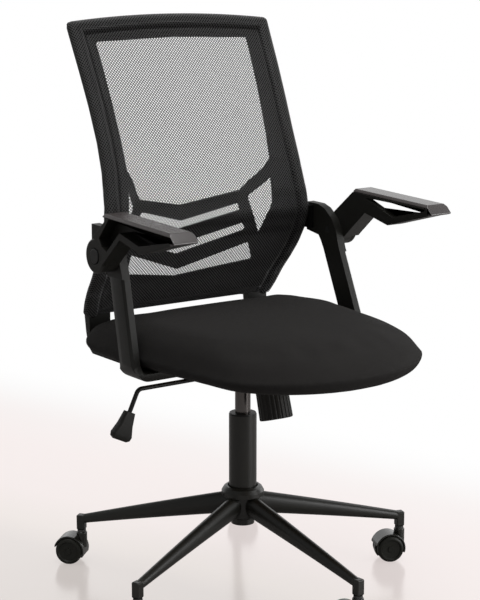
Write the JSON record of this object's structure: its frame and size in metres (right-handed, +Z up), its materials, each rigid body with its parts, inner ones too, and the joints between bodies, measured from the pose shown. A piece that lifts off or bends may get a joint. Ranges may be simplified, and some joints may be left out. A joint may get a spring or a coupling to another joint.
{
  "type": "office chair",
  "caption": "Swivel office chair with mesh back, domed cloth seat, flip-up armrests, tilt mechanism, gas lift and star base on twin-wheel casters.",
  "frame": {"origin": "on the floor, on the axis of the gas lift column", "axes": "+Z up, the sitter faces -Y, the sitter's right and the lift lever are at -X"},
  "size_m": [0.6626, 0.6438, 1.0147],
  "materials": {
    "base_paint": "satin",
    "black_nylon": "satin",
    "steel": "satin",
    "lift_chrome": "polished dark",
    "mech_paint": "satin powder coat",
    "frame_plastic": "fine grain",
    "pad_plastic": "satin",
    "screw_steel": "black oxide",
    "board_wood": "raw plywood",
    "seat_cloth": "woven",
    "mesh_cloth": "open mesh",
    "caster_gloss": "glossy",
    "wheel_nylon": "satin"
  },
  "bodies": {
    "base": {"base_hub": "base_paint", "base_leg_1": "base_paint", "base_leg_2": "base_paint", "base_leg_3": "base_paint", "base_leg_4": "base_paint", "base_leg_5": "base_paint", "column_tube": "base_paint", "column_bush": "black_nylon", "thrust_bearing": "steel"},
    "column_core": {"piston_rod": "steel"},
    "lift": {"gas_cylinder": "lift_chrome", "mech_housing": "mech_paint", "mech_axle": "steel", "tension_spring": "steel"},
    "valve": {"gas_button": "steel"},
    "lock_slider": {"lever_bush": "black_nylon"},
    "lever": {"lever_rod": "mech_paint", "lever_grip": "frame_plastic"},
    "seat": {"seat_plate": "mech_paint", "tension_bolt": "steel", "seat_board": "board_wood", "seat_cushion": "seat_cloth", "seat_screws": "screw_steel", "arm_upright_right": "frame_plastic", "arm_upright_left": "frame_plastic", "pivot_pins": "screw_steel", "back_frame": "frame_plastic", "back_mesh": "mesh_cloth"},
    "tension_control": {"tension_knob": "frame_plastic"},
    "arm_right": {"armrest_loop_right": "frame_plastic", "armrest_pad_right": "pad_plastic", "pivot_cap_right": "frame_plastic"},
    "arm_left": {"armrest_loop_left": "frame_plastic", "armrest_pad_left": "pad_plastic", "pivot_cap_left": "frame_plastic"},
    "caster_1": {"caster_hood_1": "caster_gloss", "caster_stem_1": "steel", "caster_axle_1": "steel"},
    "wheel_1a": {"caster_wheel_1a": "wheel_nylon"},
    "wheel_1b": {"caster_wheel_1b": "wheel_nylon"},
    "caster_2": {"caster_hood_2": "caster_gloss", "caster_stem_2": "steel", "caster_axle_2": "steel"},
    "wheel_2a": {"caster_wheel_2a": "wheel_nylon"},
    "wheel_2b": {"caster_wheel_2b": "wheel_nylon"},
    "caster_3": {"caster_hood_3": "caster_gloss", "caster_stem_3": "steel", "caster_axle_3": "steel"},
    "wheel_3a": {"caster_wheel_3a": "wheel_nylon"},
    "wheel_3b": {"caster_wheel_3b": "wheel_nylon"},
    "caster_4": {"caster_hood_4": "caster_gloss", "caster_stem_4": "steel", "caster_axle_4": "steel"},
    "wheel_4a": {"caster_wheel_4a": "wheel_nylon"},
    "wheel_4b": {"caster_wheel_4b": "wheel_nylon"},
    "caster_5": {"caster_hood_5": "caster_gloss", "caster_stem_5": "steel", "caster_axle_5": "steel"},
    "wheel_5a": {"caster_wheel_5a": "wheel_nylon"},
    "wheel_5b": {"caster_wheel_5b": "wheel_nylon"}
  },
  "joints": [
    {"name": "seat_swivel", "type": "hinge", "parent": "base", "child": "column_core", "pos_m": [0, 0, 0.2], "axis": [0, 0, 1], "continuous": true},
    {"name": "gas_lift", "type": "slide", "parent": "column_core", "child": "lift", "axis": [0, 0, 1], "range_m": [-0.05, 0.05]},
    {"name": "seat_tilt", "type": "hinge", "parent": "lift", "child": "seat", "pos_m": [0, -0.035, 0.406], "axis": [-1, 0, 0], "range_deg": [0, 12], "stiffness_Nm_per_rad": 90, "springref_deg": -14.32, "deforming": ["tension_spring"]},
    {"name": "tension_turn", "type": "hinge", "parent": "seat", "child": "tension_control", "pos_m": [0, -0.08754, 0.36732], "axis": [0, -0.2756, -0.9613], "continuous": true},
    {"name": "tilt_lock_pull", "type": "slide", "parent": "lift", "child": "lock_slider", "axis": [-1, 0, 0], "range_m": [0, 0.01]},
    {"name": "lift_lever", "type": "hinge", "parent": "lock_slider", "child": "lever", "pos_m": [-0.026, 0.04, 0.378], "axis": [0, 1, 0], "range_deg": [0, 7], "stiffness_Nm_per_rad": 0.8, "springref_deg": -20.05},
    {"name": "valve_press", "type": "slide", "parent": "lift", "child": "valve", "axis": [0, 0, -1], "range_m": [0, 0.006], "stiffness_N_per_m": 300, "springref_m": -0.003},
    {"name": "arm_right_flip", "type": "hinge", "parent": "seat", "child": "arm_right", "pos_m": [-0.2443, 0.046, 0.62], "axis": [-1, 0, 0], "range_deg": [0, 90]},
    {"name": "arm_left_flip", "type": "hinge", "parent": "seat", "child": "arm_left", "pos_m": [0.2443, 0.046, 0.62], "axis": [-1, 0, 0], "range_deg": [0, 90]},
    {"name": "caster_1_swivel", "type": "hinge", "parent": "base", "child": "caster_1", "pos_m": [0.17559, 0.26032, 0.06], "axis": [0, 0, 1], "continuous": true},
    {"name": "wheel_1a_roll", "type": "hinge", "parent": "caster_1", "child": "wheel_1a", "pos_m": [0.19532, 0.2675, 0.025], "axis": [-0.342, 0.9397, 0], "continuous": true},
    {"name": "wheel_1b_roll", "type": "hinge", "parent": "caster_1", "child": "wheel_1b", "pos_m": [0.19532, 0.2675, 0.025], "axis": [-0.342, 0.9397, 0], "continuous": true},
    {"name": "caster_2_swivel", "type": "hinge", "parent": "base", "child": "caster_2", "pos_m": [-0.19332, 0.24743, 0.06], "axis": [0, 0, 1], "continuous": true},
    {"name": "wheel_2a_roll", "type": "hinge", "parent": "caster_2", "child": "wheel_2a", "pos_m": [-0.20737, 0.26304, 0.025], "axis": [-0.7431, -0.6691, 0], "continuous": true},
    {"name": "wheel_2b_roll", "type": "hinge", "parent": "caster_2", "child": "wheel_2b", "pos_m": [-0.20737, 0.26304, 0.025], "axis": [-0.7431, -0.6691, 0], "continuous": true},
    {"name": "caster_3_swivel", "type": "hinge", "parent": "base", "child": "caster_3", "pos_m": [-0.29506, -0.10739, 0.06], "axis": [0, 0, 1], "continuous": true},
    {"name": "wheel_3a_roll", "type": "hinge", "parent": "caster_3", "child": "wheel_3a", "pos_m": [-0.31325, -0.09689, 0.025], "axis": [-0.5, -0.866, 0], "continuous": true},
    {"name": "wheel_3b_roll", "type": "hinge", "parent": "caster_3", "child": "wheel_3b", "pos_m": [-0.31325, -0.09689, 0.025], "axis": [-0.5, -0.866, 0], "continuous": true},
    {"name": "caster_4_swivel", "type": "hinge", "parent": "base", "child": "caster_4", "pos_m": [0.01096, -0.31381, 0.06], "axis": [0, 0, 1], "continuous": true},
    {"name": "wheel_4a_roll", "type": "hinge", "parent": "caster_4", "child": "wheel_4a", "pos_m": [-0.00877, -0.30663, 0.025], "axis": [-0.342, -0.9397, 0], "continuous": true},
    {"name": "wheel_4b_roll", "type": "hinge", "parent": "caster_4", "child": "wheel_4b", "pos_m": [-0.00877, -0.30663, 0.025], "axis": [-0.342, -0.9397, 0], "continuous": true},
    {"name": "caster_5_swivel", "type": "hinge", "parent": "base", "child": "caster_5", "pos_m": [0.30184, -0.08655, 0.06], "axis": [0, 0, 1], "continuous": true},
    {"name": "wheel_5a_roll", "type": "hinge", "parent": "caster_5", "child": "wheel_5a", "pos_m": [0.28265, -0.07801, 0.025], "axis": [-0.4067, -0.9135, 0], "continuous": true},
    {"name": "wheel_5b_roll", "type": "hinge", "parent": "caster_5", "child": "wheel_5b", "pos_m": [0.28265, -0.07801, 0.025], "axis": [-0.4067, -0.9135, 0], "continuous": true}
  ],
  "couplings": [
    {"joint": "valve_press", "follows": "lift_lever", "m_per_rad": 0.0428}
  ]
}
